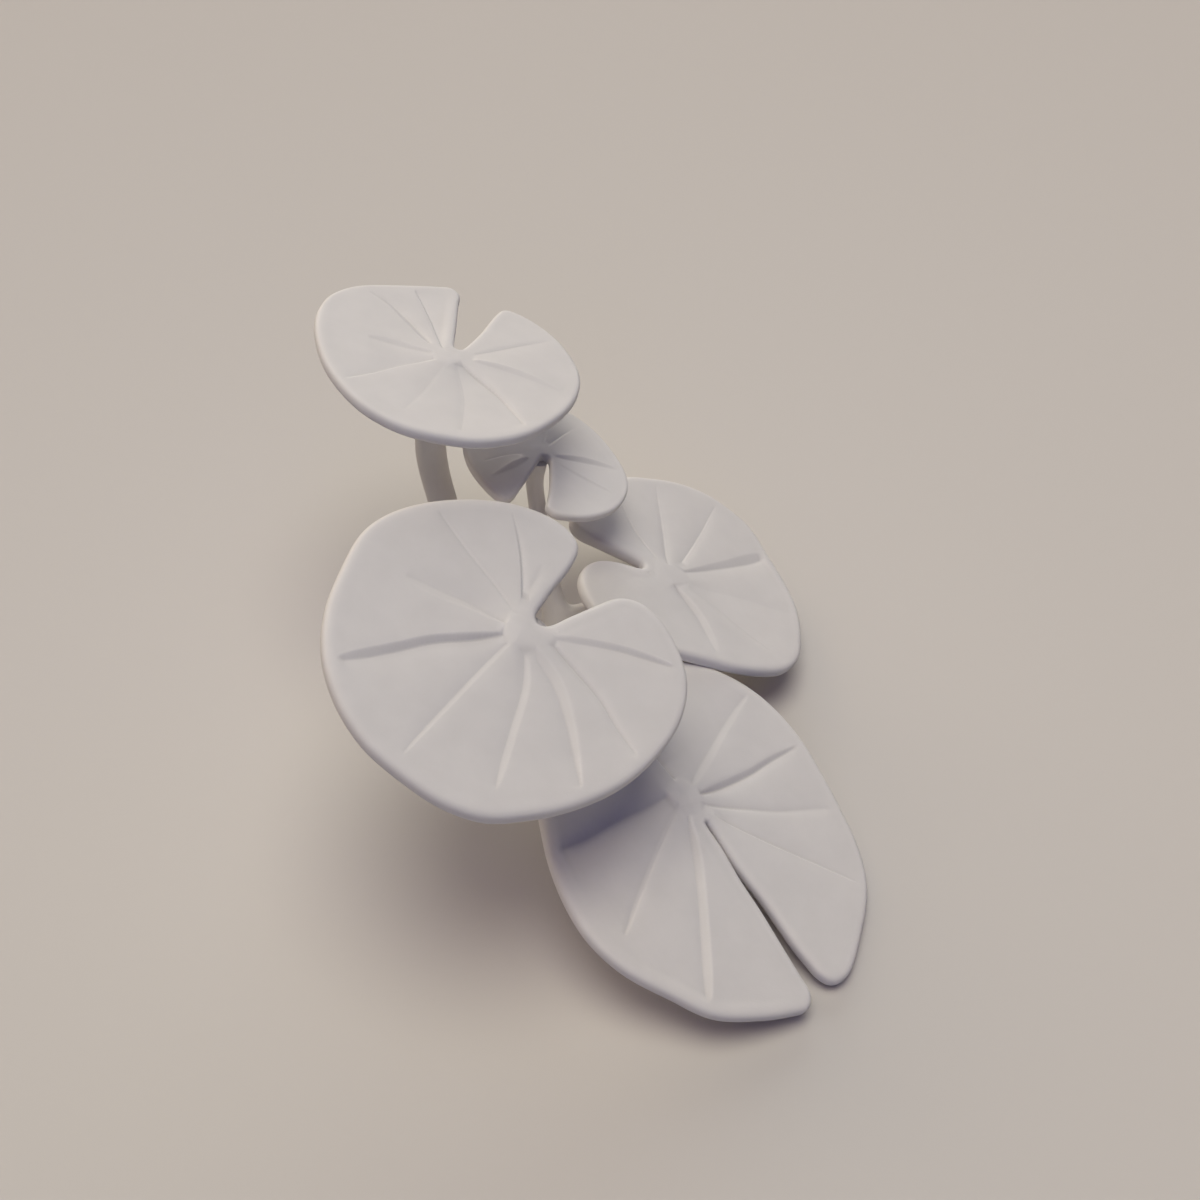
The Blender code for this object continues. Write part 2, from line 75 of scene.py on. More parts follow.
# Leaves, in mm. hub is the top of the leaf over its stem, up the normal of its top,
# notch the direction in which it opens (degrees about up, from the X side), rim the
# radius of the rounded edge and knob the rise of the hub, with the radii between which
# it fades. edge is the border of the flat top, with x toward the notch.
# A vein's path has points of angle from the notch and radius. before and after are the
# height of the top on its clockwise and its other side, each with the distance over
# which it fades, width is that of the slope between the two heights near the hub and at
# the outer end, and keep is the share of the heights that is left at the outer end. Widths,
# heights and reaches grow over GROWTH from the inner end and shrink over DECLINE to the
# share SMALLEST at the outer end.
LEAVES = {
    "leaf_back": dict(
        hub=(-61.9, 89.6, 190.0), up=(0.265, 0.107, 0.958), notch=75.0, rim=3.8, knob=(0.4, 4, 12),
        edge=[(7.6, -2.5), (9.4, 1.8), (12.2, 3.4), (36, 10), (54, 15), (61.2, 16.8), (63.3, 20),
              (60.6, 25), (47, 44), (33, 61), (24, 67), (13, 70.5), (-3, 69.5), (-18, 64.5), (-40, 51),
              (-54, 37), (-64.5, 20), (-68.5, 0), (-64.5, -20), (-56, -38), (-39, -54), (-14, -65),
              (11, -68.5), (31, -64), (50, -49), (60, -33), (63.3, -20), (62.8, -15), (58, -13.6),
              (33, -11.8), (12.8, -8.4), (9.4, -6.7)],
        veins=[dict(path=[(42.4, 6), (34.5, 31), (35.2, 47), (36.3, 64)],
                    before=(-2, 6.5), after=(-0.7, 2.3), width=(0.8, 0.8), keep=0.7),
               dict(path=[(66, 12), (58.7, 36), (58.6, 54), (61.3, 67)],
                    before=(-2.4, 2.3), after=(-0.7, 6.8), width=(3.8, 2.5), keep=0.3),
               dict(path=[(98.9, 6), (98.1, 17), (97.8, 28), (100.8, 44)],
                    before=(-0.1, 1.4), after=(-0.8, 6.6), width=(2, 6), keep=1.6),
               dict(path=[(146.6, 6), (141.6, 30), (143.8, 47), (143.6, 67)],
                    before=(-1.4, 8.1), after=(-0.4, 2), width=(0.8, 0.8), keep=0.6),
               dict(path=[(199.6, 6), (181.5, 35), (176.9, 60)],
                    before=(-0.7, 7.6), after=(-0.5, 9.2), width=(3, 0.9), keep=0.9),
               dict(path=[(250.1, 6), (214.4, 34), (205.2, 66)],
                    before=(-1, 4.7), after=(-1.1, 7.4), width=(0.8, 0.8), keep=0.9),
               dict(path=[(274, 6), (246.4, 38), (238.6, 68)],
                    before=(-2.8, 8.1), after=(-1.5, 1.4), width=(0.8, 0.8), keep=0.5),
               dict(path=[(291.9, 13), (283, 40), (277.6, 65)],
                    before=(0.6, 2.3), after=(2.2, 7.3), width=(3.5, 3.9), keep=0.3),
               dict(path=[(311.5, 15), (319, 44), (319.5, 70)],
                    before=(-1.1, 6.8), after=(-0.7, 1.4), width=(0.8, 0.8), keep=0.3)]),
    "leaf_small": dict(
        hub=(-13.7, 84.4, 125.0), up=(0.381, 0.113, 0.918), notch=258.0, rim=3.0, knob=(0.3, 3, 8),
        edge=[(-3, 4.7), (-1.4, 8.6), (1.4, 10.1), (26, 16), (37, 17.2), (42.2, 17.7), (43.6, 21), (41, 27),
              (34, 37), (18, 48), (-2, 51.5), (-16, 48), (-31, 37), (-44, 21), (-49, 3), (-42, -16),
              (-30, -31), (-13, -39.5), (6, -41), (24, -36.5), (36, -30), (45, -21), (50.6, -12),
              (51.6, -7.8), (48, -6), (38, -4.8), (14, -2), (2, -0.8), (-1.4, 0.8)],
        veins=[dict(path=[(181, 6), (182, 15), (185, 25)],
                    before=(0, 4), after=(-0.5, 4), width=(1.2, 1.2), keep=1),
               dict(path=[(165.5, 6), (162, 24), (161, 44)],
                    before=(-0.3, 1.5), after=(-1, 1.4), width=(0.8, 0.8), keep=0.2),
               dict(path=[(102.5, 6), (113.8, 31), (111.8, 50)],
                    before=(-0.4, 1.6), after=(1.4, 8.6), width=(3.5, 4.2), keep=0.4),
               dict(path=[(78, 9), (80.5, 29), (83, 48)],
                    before=(-0.1, 9), after=(0.3, 9), width=(3.5, 0.8), keep=1.3),
               dict(path=[(322, 6), (316, 21), (320, 42)],
                    before=(-0.8, 5), after=(0, 5), width=(0.8, 0.8), keep=1),
               dict(path=[(335, 8), (335.5, 30), (335, 46)],
                    before=(2, 2.9), after=(0.1, 8.8), width=(3.9, 3.3), keep=0.3)]),
    "leaf_side": dict(
        hub=(59.3, 52.0, 60.0), up=(0.438, 0.077, 0.896), notch=181.0, rim=4.6, knob=(0.6, 4, 14),
        edge=[(10.4, -0.6), (12.6, 4.9), (17.3, 7.1), (30, 8.5), (38, 10.5), (45, 15), (50, 22.5), (51, 31),
              (47.5, 41), (40, 51), (28, 58), (12, 60), (-6, 57), (-22, 55.5), (-40, 53.8), (-56, 50),
              (-70.8, 43.2), (-80.6, 30.5), (-84.5, 12), (-84.5, -8), (-79, -27), (-69, -48), (-58, -69),
              (-44, -79.5), (-30, -85), (-12, -85), (5, -80), (22, -72.5), (38, -57), (50, -38), (56, -22),
              (55.7, -17.5), (52.5, -14.2), (45, -12.8), (30, -10.5), (16.9, -8.2), (12.6, -6)],
        veins=[dict(path=[(304.5, 10), (305, 33), (301.5, 55)],
                    before=(-0.4, 2.5), after=(-1, 6), width=(0.8, 0.8), keep=1),
               dict(path=[(262.9, 6), (270.8, 37), (273.2, 80)],
                    before=(-1.3, 2.6), after=(-1.7, 3.2), width=(0.8, 0.8), keep=0.2),
               dict(path=[(217.5, 8), (241.5, 51), (244.5, 88)],
                    before=(-1.2, 2), after=(-1.7, 4.8), width=(0.8, 0.8), keep=0.3),
               dict(path=[(211, 8), (213.6, 25), (214.2, 50), (215.4, 90)],
                    before=(-1.1, 4), after=(-0.1, 1.4), width=(1.2, 8), keep=2),
               dict(path=[(178, 13), (186, 49), (184.5, 69), (183, 88)],
                    before=(-0.6, 9), after=(-0.1, 1.4), width=(6.6, 7.6), keep=0.7),
               dict(path=[(141.5, 7), (155.9, 30), (152.1, 52), (150.8, 75)],
                    before=(-1.1, 2.6), after=(-1.4, 8.2), width=(1.8, 0.8), keep=0.8),
               dict(path=[(119.4, 7), (128.1, 32), (118.8, 64)],
                    before=(-2.8, 5.5), after=(-0.4, 1.4), width=(2.6, 6), keep=0.2),
               dict(path=[(36.8, 7), (40, 32), (46.6, 58)],
                    before=(-0.6, 9), after=(-0.1, 1.4), width=(6.6, 6.8), keep=0.3)]),
    "leaf_large": dict(
        hub=(-19.1, -69.8, 150.0), up=(0.320, -0.122, 0.939), notch=43.0, rim=5.2, knob=(0.5, 4, 12),
        edge=[(7, -1), (9, 4.5), (13, 8), (20, 10.8), (32, 15), (44, 18.5), (52, 21.5), (58.2, 25.3),
              (59.8, 31.5), (57.4, 41), (51.3, 51.2), (40.5, 62), (24, 72.5), (4, 80.5), (-14, 83.3),
              (-30, 81), (-50.5, 70), (-70.8, 55.7), (-86, 38), (-95, 17), (-98, -6), (-94, -29),
              (-87, -49), (-76, -64), (-60, -73.5), (-40, -81.5), (-14, -86.5), (12, -85), (36, -77.7),
              (52.5, -65.6), (61.7, -49.4), (65.3, -32), (63, -22), (57, -16.5), (46, -14.3), (29, -12),
              (15, -10.2), (9, -6.5)],
        veins=[dict(path=[(40.5, 8), (47, 36), (49.5, 54), (52.5, 73)],
                    before=(-1.6, 1.4), after=(-0.2, 1.4), width=(0.8, 1.5), keep=0.3),
               dict(path=[(40, 9), (35.5, 20), (35.3, 30), (32.5, 45)],
                    before=(-0.6, 4.1), after=(-0.6, 3.4), width=(0.8, 0.8), keep=0.9),
               dict(path=[(53.2, 8), (72.5, 25), (80, 50), (82.1, 79)],
                    before=(-0.9, 5.4), after=(-1.3, 4.1), width=(0.8, 1), keep=1),
               dict(path=[(116.5, 6), (116.6, 27), (119.4, 42), (119.1, 63)],
                    before=(-2.8, 10), after=(-0.6, 4), width=(3, 6), keep=0.3),
               dict(path=[(160.4, 6), (154.5, 26), (154.2, 46), (156.4, 62), (158.1, 97)],
                    before=(-0.1, 1.4), after=(-3.1, 6.9), width=(2.6, 4.8), keep=0.6),
               dict(path=[(199.5, 6), (193, 33), (193, 53), (193, 95)],
                    before=(-1.2, 4.9), after=(-0.4, 2.2), width=(3, 1.9), keep=0.8),
               dict(path=[(257, 6), (237, 28), (225.5, 59), (221.5, 90)],
                    before=(-1.4, 6.5), after=(-0.2, 1.4), width=(3.1, 3.8), keep=0.8),
               dict(path=[(269.1, 6), (266, 31), (257.3, 53), (248.7, 89)],
                    before=(-2.2, 7.2), after=(-0.2, 1.4), width=(6.6, 2.1), keep=0.7),
               dict(path=[(312.5, 14), (280, 52), (274.5, 68), (272, 88)],
                    before=(-2.4, 3.9), after=(-2.8, 1.4), width=(0.8, 0.8), keep=0.5),
               dict(path=[(315.5, 9), (317.5, 47), (316, 62), (313.5, 82)],
                    before=(-0.4, 5.5), after=(0.4, 9), width=(3.5, 2.8), keep=2.4)]),
    "leaf_low": dict(
        hub=(64.8, -92.1, 43.2), up=(0.300, -0.100, 0.950), notch=307.0, rim=4.8, knob=(0.8, 6, 11),
        edge=[(13.8, 1.4), (15.3, 5.1), (19, 6.6), (34, 5.8), (45, 5), (55, 5), (66, 5.4), (76, 5.2),
              (86, 4.7), (97, 4.4), (107, 5), (113.5, 5.6), (118.2, 8.2), (118.4, 14.5), (109, 30.5),
              (89.5, 54.6), (70, 66), (48, 72.5), (25, 77.5), (2, 80.8), (-24.5, 78), (-45, 69), (-60, 56),
              (-70, 38), (-73, 15), (-69, -10), (-60, -34), (-48, -54), (-34, -68), (-19, -76), (-1, -83.6),
              (20, -88.8), (40, -89.6), (60, -84.3), (82, -71.3), (100, -59), (113, -38), (119.2, -23),
              (120.8, -17), (118, -13.9), (110, -13), (92, -11), (72, -8.7), (53, -7.4), (34, -4.9),
              (19, -3.9), (15.3, -2.4)],
        veins=[dict(path=[(13.9, 10), (28.4, 47), (31.2, 80), (32.2, 109)],
                    before=(-0.8, 3.5), after=(-1.9, 2.5), width=(0.8, 0.8), keep=0.3),
               dict(path=[(23, 9), (48.5, 37), (51.2, 54), (56.9, 90)],
                    before=(-0.8, 1.6), after=(-2.2, 3.3), width=(0.8, 4.1), keep=0.3),
               dict(path=[(67.9, 7), (82.1, 43), (84.9, 61), (85.3, 83)],
                    before=(-4.4, 2.7), after=(-0.7, 1.4), width=(3.5, 2.4), keep=0.2),
               dict(path=[(106, 6), (112, 27), (114, 56), (113.5, 85)],
                    before=(-0.3, 1.4), after=(-1.7, 7.7), width=(4.9, 2.8), keep=0.7),
               dict(path=[(176, 8), (180, 20), (182, 34)],
                    before=(-3.5, 5), after=(0, 5), width=(1, 1), keep=1),
               dict(path=[(241, 8), (262, 41), (265, 62), (265, 84)],
                    before=(-6, 6), after=(-6, 14), width=(0.8, 0.8), keep=1),
               dict(path=[(287.5, 6), (299, 42), (300, 65), (301, 92)],
                    before=(-1, 4.5), after=(-0.9, 1.4), width=(1.8, 0.8), keep=1.4),
               dict(path=[(332.5, 11), (332.5, 41), (329.5, 76), (327.5, 119)],
                    before=(-1.4, 4), after=(0.9, 9), width=(3.4, 4.6), keep=0.9)]),
}

# Stem paths from inside the crown to the underside of their leaf: x, y, z and radius
# in mm. The second value is the number of the handle where the crown ends.
STEMS = {
    "back": ([(-3, 2, 9, 8), (-12, 10, 14, 9.5), (-24, 22, 22, 9.3), (-42, 40, 38, 8.8),
              (-58, 58, 62, 8.4), (-70.2, 76.5, 95, 8.3), (-75.2, 86, 125, 8.7),
              (-70, 86.7, 163.5, 8.6)], 2, 11.0),
    "small": ([(0, 2, 8, 8), (-1, 12, 15, 9.5), (-3, 24, 27, 8.8), (-5.2, 34, 39, 8),
               (-8.6, 46.5, 54, 6), (-12.7, 62, 72, 5.2), (-15.8, 75, 89, 5),
               (-17.3, 82, 104, 5.1)], 4, 6.4),
    "side": ([(-4, 31, 34, 6), (2, 35.5, 37, 6.6), (13, 41.5, 37.5, 6.4), (26, 48, 36.5, 6.3),
              (40, 50.5, 37.5, 6.5), (50.3, 50.5, 42.5, 7)], 2, 9.0),
    "large": ([(0, -1, 8, 8), (-1.5, -5, 18, 10.5), (-4, -11, 33, 10.2), (-7, -19, 58, 10),
               (-11.5, -34, 94, 10), (-17, -52, 124, 11)], 2, 14.5),
    "low": ([(4, -5, 9, 7.5), (12, -15, 11, 8.8), (23, -30, 12, 8.6), (38, -54, 13.5, 8),
             (51, -76, 18, 8)], 2, 10.5),
}

# Camera and stage, in metres
CAMERA_PLACE = Vector((0.020, -0.5975, 0.758))
CAMERA_AIM = Vector((0.020, 0.085, 0.0))
CAMERA_LENS = 49.44
CAMERA_SENSOR = 36.0
FLOOR_HALF = 3.0
FLOOR_DROP = 0.0003

# Colours, and the strength of the painted shade in the leaves' creases (their crests get a painted
# highlight)
LEAF_COLOUR = (0.755, 0.725, 0.705)
STEM_COLOUR = (0.72, 0.69, 0.66)
FLOOR_COLOUR = (0.62, 0.59, 0.56)
# Depth of the painted shade in leaf creases; crests get a painted highlight of 0.4 times this
LEAF_CREASE_SHADING = 0.12


def smooth(low, high, value):
    """Zero below low, one above high, with a soft passage."""
    t = np.clip((value - low) / (high - low), 0.0, 1.0)
    return t * t * (3.0 - 2.0 * t)


def spline(points, closed, steps):
    """Points of a centripetal Catmull-Rom curve through the given points."""
    points = np.array(points, float)
    if closed:
        ring = np.vstack([points[-1:], points, points[:2]])
    else:
        ring = np.vstack([2 * points[0] - points[1], points, 2 * points[-1] - points[-2]])
    out = []
    share = np.arange(steps)[:, None] / steps
    for i in range(len(ring) - 3):
        quad = ring[i:i + 4]
        knots = np.zeros(4)
        for k in range(3):
            knots[k + 1] = knots[k] + math.sqrt(np.linalg.norm(quad[k + 1] - quad[k]))
        t = knots[1] + (knots[2] - knots[1]) * share
        near = [blend(quad[k], quad[k + 1], knots[k], knots[k + 1], t) for k in range(3)]
        wide = [blend(near[k], near[k + 1], knots[k], knots[k + 2], t) for k in range(2)]
        out.append(blend(wide[0], wide[1], knots[1], knots[2], t))
    if not closed:
        out.append(points[-1:])
    return np.vstack(out)


def blend(a, b, low, high, t):
    """Point on the line that passes a at low and b at high."""
    return a + (b - a) * ((t - low) / (high - low))


def edge_line(leaf):
    """Evenly spaced points of the flat top's border with their outward directions."""
    core = spline(leaf["edge"], True, EDGE_PARTS)
    along = np.roll(core, -1, 0) - np.roll(core, 1, 0)
    outward = np.column_stack([along[:, 1], -along[:, 0]])
    outward /= np.linalg.norm(outward, axis=1)[:, None]
    outer = core + outward * leaf["rim"]
    steps = np.linalg.norm(np.roll(outer, -1, 0) - outer, axis=1)
    passed = np.concatenate([[0.0], np.cumsum(steps)])
    count = round(passed[-1] / EDGE_STEP)
    targets = passed[-1] * np.arange(count) / count

    def resample(rows):
        rows = np.vstack([rows, rows[:1]])
        return np.column_stack([np.interp(targets, passed, rows[:, k]) for k in range(2)])

    line, normal = resample(core), resample(outward)
    return line, normal / np.linalg.norm(normal, axis=1)[:, None]


def vein_line(vein):
    """Points along a vein on the flat top."""
    turns, radii = np.radians([p[0] for p in vein["path"]]), np.array([p[1] for p in vein["path"]])
    return spline(np.column_stack([radii * np.cos(turns), radii * np.sin(turns)]), False, VEIN_PARTS)


def vein_place(vein, flat):
    """For points: distance after a vein, the part of it passed, its size and its strength."""
    line = vein_line(vein)
    nearest = np.full(len(flat), FAR)
    away, passed = np.zeros(len(flat)), np.zeros(len(flat))
    start = 0.0
    for a, b in zip(line, line[1:]):
        span = b - a
        length = np.linalg.norm(span)
        local = flat - a
        t = np.clip(local @ span / length ** 2, 0.0, 1.0)
        gap = np.linalg.norm(local - t[:, None] * span, axis=1)
        side = span[0] * local[:, 1] - span[1] * local[:, 0]
        closer = gap < nearest
        nearest[closer] = gap[closer]
        away[closer] = np.where(side < 0.0, -gap, gap)[closer]
        passed[closer] = (start + t * length)[closer]
        start += length
    grown = np.minimum(np.minimum(passed / GROWTH, (start - passed) / DECLINE), 1.0)
    size = SMALLEST + (1.0 - SMALLEST) * grown * (2.0 - grown)
    strength = smooth(0.0, TIP, passed) * (1.0 - smooth(start - TIP, start, passed)) * size
    return away, passed / start, size, strength * (1.0 + (vein["keep"] - 1.0) * passed / start)


def fall(side, past, size):
    """Height beside a vein at a distance past its slope."""
    height, reach = side
    return height / (1.0 + (past / (reach * size)) ** SHARPNESS)


def relief(leaf, flat, inside):
    """Height of the top over its flat border at points that lie inside by the given distance."""
    radius = np.hypot(flat[:, 0], flat[:, 1])
    rise, level, spread = leaf["knob"]
    height = rise * (1.0 - smooth(level, spread, radius))
    for vein in leaf["veins"]:
        away, part, size, strength = vein_place(vein, flat)
        near, far = vein["width"]
        half = (near + (far - near) * part) * size / 2
        past = np.maximum(np.abs(away) - half, 0.0)
        past = np.sqrt(past ** 2 + CREST_SOFTNESS ** 2) - CREST_SOFTNESS
        even = np.clip((away + half) / (2 * half), 0.0, 1.0)
        share = SLOPE_EVENNESS * even + (1.0 - SLOPE_EVENNESS) * even ** 2 * (3.0 - 2.0 * even)
        before, after = fall(vein["before"], past, size), fall(vein["after"], past, size)
        height += strength * (before + (after - before) * share)
    return height * smooth(0.0, RIM_MARGIN, inside)


def edge_distance(flat, line):
    """Distance of points to the border and whether they lie within it."""
    following = np.roll(line, -1, 0)
    nearest = np.empty(len(flat))
    within = np.zeros(len(flat), bool)
    for first in range(0, len(flat), BATCH):
        part = flat[first:first + BATCH]
        gaps = ((part[:, None, :] - line[None, :, :]) ** 2).sum(2)
        nearest[first:first + BATCH] = np.sqrt(gaps.min(1))
        y = part[:, 1:2]
        spans = (line[None, :, 1] > y) != (following[None, :, 1] > y)
        rise = following[:, 1] - line[:, 1]
        rise = np.where(np.abs(rise) < 1e-9, 1e-9, rise)
        cross = line[:, 0] + (y - line[:, 1]) * (following[:, 0] - line[:, 0]) / rise
        within[first:first + BATCH] = ((part[:, 0:1] < cross) & spans).sum(1) % 2 == 1
    return nearest, within


def lattice(line, step):
    """Rows of evenly spaced points over the border's box, every second row shifted."""
    low, high = line.min(0), line.max(0)
    rows = np.arange(low[1], high[1], step * math.sqrt(0.75))
    columns = np.arange(low[0], high[0], step)
    x, y = np.meshgrid(columns, rows)
    x = x + (np.arange(len(rows)) % 2)[:, None] * step / 2
    return np.column_stack([x.ravel(), y.ravel()])


def vein_rows(vein):
    """Rows of points along a vein and the width that they take on each side."""
    line = vein_line(vein)
    half = max(vein["width"]) / 2
    steps = np.linalg.norm(np.diff(line, axis=0), axis=1)
    passed = np.concatenate([[0.0], np.cumsum(steps)])
    targets = np.arange(0.0, passed[-1], ROW_STEP)
    middle = np.column_stack([np.interp(targets, passed, line[:, k]) for k in range(2)])
    along = np.gradient(middle, axis=0)
    along /= np.linalg.norm(along, axis=1)[:, None]
    across = np.column_stack([-along[:, 1], along[:, 0]])
    inner = np.linspace(-half, half, max(3, math.ceil(2 * half / ROW_STEP) + 1))
    outer = half + np.array(ROW_OFFSETS)
    rows = [middle + across * offset for offset in (*inner, *outer, *-outer)]
    return np.vstack(rows), half + ROW_OFFSETS[-1] + LATTICE * 0.4


def cover(leaf, line, step, veined):
    """Points that fill the border, in close rows beside the veins."""
    points = lattice(line, step)
    if veined:
        taken = []
        for vein in leaf["veins"]:
            rows, reach = vein_rows(vein)
            for other, width in taken:
                rows = rows[np.abs(vein_place(other, rows)[0]) > width]
            points = np.vstack([points[np.abs(vein_place(vein, points)[0]) > reach], rows])
            taken.append((vein, reach))
    distance, within = edge_distance(points, line)
    keep = within & (distance > EDGE_STEP * 0.6)
    return points[keep], distance[keep]


def fill(line, inner):
    """Triangles inside the border through it and the inner points."""
    count = len(line)
    points = [Vector(p) for p in np.vstack([line, inner])]
    edges = [(i, (i + 1) % count) for i in range(count)]
    result = delaunay_2d_cdt(points, edges, [list(range(count))], 1, 1e-6)
    flats = np.array([(p.x, p.y) for p in result[0]])
    return flats, result[2], [min(source, default=-1) for source in result[3]]


def leaf_axes(leaf):
    """Hub and the leaf's three directions: to the notch, across it and up."""
    up = np.array(leaf["up"]) / np.linalg.norm(leaf["up"])
    east = np.array([1.0, 0.0, 0.0])
    east = east - up * (east @ up)
    east /= np.linalg.norm(east)
    north = np.cross(up, east)
    turn = math.radians(leaf["notch"])
    ahead = east * math.cos(turn) + north * math.sin(turn)
    return np.array(leaf["hub"]), ahead, np.cross(up, ahead), up


def add_mesh(name, points, faces):
    """Smooth shaded object from points in mm and faces."""
    mesh = bpy.data.meshes.new(name)
    mesh.from_pydata((np.asarray(points) * MM).tolist(), [], faces)
    mesh.validate()
    shape = bmesh.new()
    shape.from_mesh(mesh)
    bmesh.ops.recalc_face_normals(shape, faces=shape.faces)
    for face in shape.faces:
        face.smooth = True
    shape.to_mesh(mesh)
    shape.free()
    thing = bpy.data.objects.new(name, mesh)
    bpy.context.scene.collection.objects.link(thing)
    return thing


def make_leaf(name, leaf):
    """Closed leaf: rounded edge, veined top and plain underside."""
    hub, ahead, across, up = leaf_axes(leaf)
    rim = leaf["rim"]
    line, normal = edge_line(leaf)
    count = len(line)
    points, faces = [], []
    for k in range(ROUND_PARTS + 1):
        angle = math.pi * (0.5 - k / ROUND_PARTS)
        out, high = max(math.cos(angle), 0.0), math.sin(angle)
        if high > 0.0:
            out, high = out ** TOP_FULLNESS, high ** TOP_FULLNESS
        points.append(np.column_stack([line + normal * rim * out, np.full(count, rim * (high - 1.0))]))
    for k in range(ROUND_PARTS):
        for i in range(count):
            j = (i + 1) % count
            faces.append((k * count + i, k * count + j, (k + 1) * count + j, (k + 1) * count + i))
    total = (ROUND_PARTS + 1) * count
    for first, step, top in ((0, LATTICE, True), (ROUND_PARTS * count, UNDER_LATTICE, False)):
        inner, distance = cover(leaf, line, step, top)
        flats, triangles, sources = fill(line, inner)
        inside = np.zeros(len(flats))
        sources = np.array(sources)
        known = sources >= count
        inside[known] = distance[sources[known] - count]
        if top:
            height = relief(leaf, flats, inside)
        else:
            height = np.full(len(flats), -2.0 * rim)
        number = np.where((sources >= 0) & (sources < count), first + sources, -1)
        new = number < 0
        number[new] = total + np.arange(new.sum())
        points.append(np.column_stack([flats[new], height[new]]))
        total += int(new.sum())
        faces.extend(tuple(int(number[i]) for i in triangle) for triangle in triangles)
    local = np.vstack(points)
    places = hub + local[:, :1] * ahead + local[:, 1:2] * across + local[:, 2:] * up
    places[:, 2] = np.maximum(places[:, 2], 0.0)
    return add_mesh(name, places, faces)


def stem_stations(key):
    """Stations of the crown's stub and those of the stem: place, direction and radius."""
    handles, split, top = STEMS[key]
    leaf = LEAVES["leaf_" + key]
    hub, ahead, across, up = leaf_axes(leaf)
    end = hub - up * (2.0 * leaf["rim"] - INTO_LEAF)
    path = spline(handles + [(*end, top)], False, STEM_PARTS)
    places, radii = path[:, :3], path[:, 3]
    before, after = np.vstack([places[:1], places[:-1]]), np.vstack([places[1:], places[-1:]])
    along = after - before
    along /= np.linalg.norm(along, axis=1)[:, None]
    left = (len(path) - 1 - np.arange(len(path))) / STEM_PARTS
    share = 1.0 - smooth(0.0, LAST_TURN, left)
    along = along + (up - along) * share[:, None]
    along /= np.linalg.norm(along, axis=1)[:, None]
    return places, along, radii, split * STEM_PARTS


def sweep(places, along, radii):
    """Points and faces of a round bar with flat ends."""
    points, faces = [], []
    side = np.array([1.0, 0.0, 0.0]) if abs(along[0][0]) < 0.8 else np.array([0.0, 1.0, 0.0])
    turns = np.arange(STEM_SIDES) * math.tau / STEM_SIDES
    for place, ahead, radius in zip(places, along, radii):
        side = side - ahead * (side @ ahead)
        side /= np.linalg.norm(side)
        other = np.cross(ahead, side)
        points.append(place + radius * (np.cos(turns)[:, None] * side + np.sin(turns)[:, None] * other))
    for k in range(len(places) - 1):
        for i in range(STEM_SIDES):
            j = (i + 1) % STEM_SIDES
            a, b = k * STEM_SIDES, (k + 1) * STEM_SIDES
            faces.append((a + i, a + j, b + j, b + i))
    last = (len(places) - 1) * STEM_SIDES
    faces.append(tuple(reversed(range(STEM_SIDES))))
    faces.append(tuple(range(last, last + STEM_SIDES)))
    return np.vstack(points), faces


def mound():
    """Points and faces of the crown's low round base, from under the cut up."""
    turns = np.arange(CROWN_SIDES) * math.tau / CROWN_SIDES
    points, faces = [], []
    for level in CROWN_LEVELS:
        radius = CROWN_RADIUS * math.cos(level)
        height = CROWN_MIDDLE + (CROWN_HEIGHT - CROWN_MIDDLE) * math.sin(level)
        points.append(np.column_stack([radius * np.cos(turns), radius * np.sin(turns),
                                       np.full(CROWN_SIDES, height)]))
    for k in range(len(CROWN_LEVELS) - 1):
        for i in range(CROWN_SIDES):
            j = (i + 1) % CROWN_SIDES
            a, b = k * CROWN_SIDES, (k + 1) * CROWN_SIDES
            faces.append((a + i, a + j, b + j, b + i))
    last = (len(CROWN_LEVELS) - 1) * CROWN_SIDES
    faces.append(tuple(reversed(range(CROWN_SIDES))))
    faces.append(tuple(range(last, last + CROWN_SIDES)))
    return np.vstack(points), faces


def extended(key):
    """Stations of a whole stem that run on past the underside of its leaf."""
    places, along, radii, cut = stem_stations(key)
    place = places[-1] + along[-1] * PAST_END
    return np.vstack([places, place]), np.vstack([along, along[-1]]), np.append(radii, radii[-1])


def apply_modifiers(thing):
    """Replaces the mesh by its evaluated one."""
    result = bpy.data.meshes.new_from_object(thing.evaluated_get(bpy.context.evaluated_depsgraph_get()))
    thing.modifiers.clear()
    thing.data = result


def stem_distance(points, places, radii):
    """Distance of points to the surface of a stem."""
    best = np.full(len(points), FAR)
    for a, b, ra, rb in zip(places, places[1:], radii, radii[1:]):
        span = b - a
        t = np.clip((points - a) @ span / (span @ span), 0.0, 1.0)
        gap = np.linalg.norm(points - a - t[:, None] * span, axis=1) - (ra + (rb - ra) * t)
        best = np.minimum(best, gap)
    return best


def mound_distance(points):
    """Approximate distance of points to the crown's base."""
    scale = 1.0 / np.array([CROWN_RADIUS, CROWN_RADIUS, CROWN_HEIGHT - CROWN_MIDDLE])
    local = (points - np.array([0.0, 0.0, CROWN_MIDDLE])) * scale
    length = np.maximum(np.linalg.norm(local, axis=1), 1e-6)
    slope = np.linalg.norm(local * scale, axis=1) / length
    return (length - 1.0) / np.maximum(slope, 1e-6)


def joined_distance(points, bars):
    """Distance to all the stems and the base with soft joins between them."""
    gaps = [stem_distance(points, places, radii) for places, along, radii in bars]
    gaps.append(mound_distance(points))
    gaps = np.array(gaps)
    low = gaps.min(0)
    return low - JOINING * np.log(np.exp(-(gaps - low) / JOINING).sum(0))


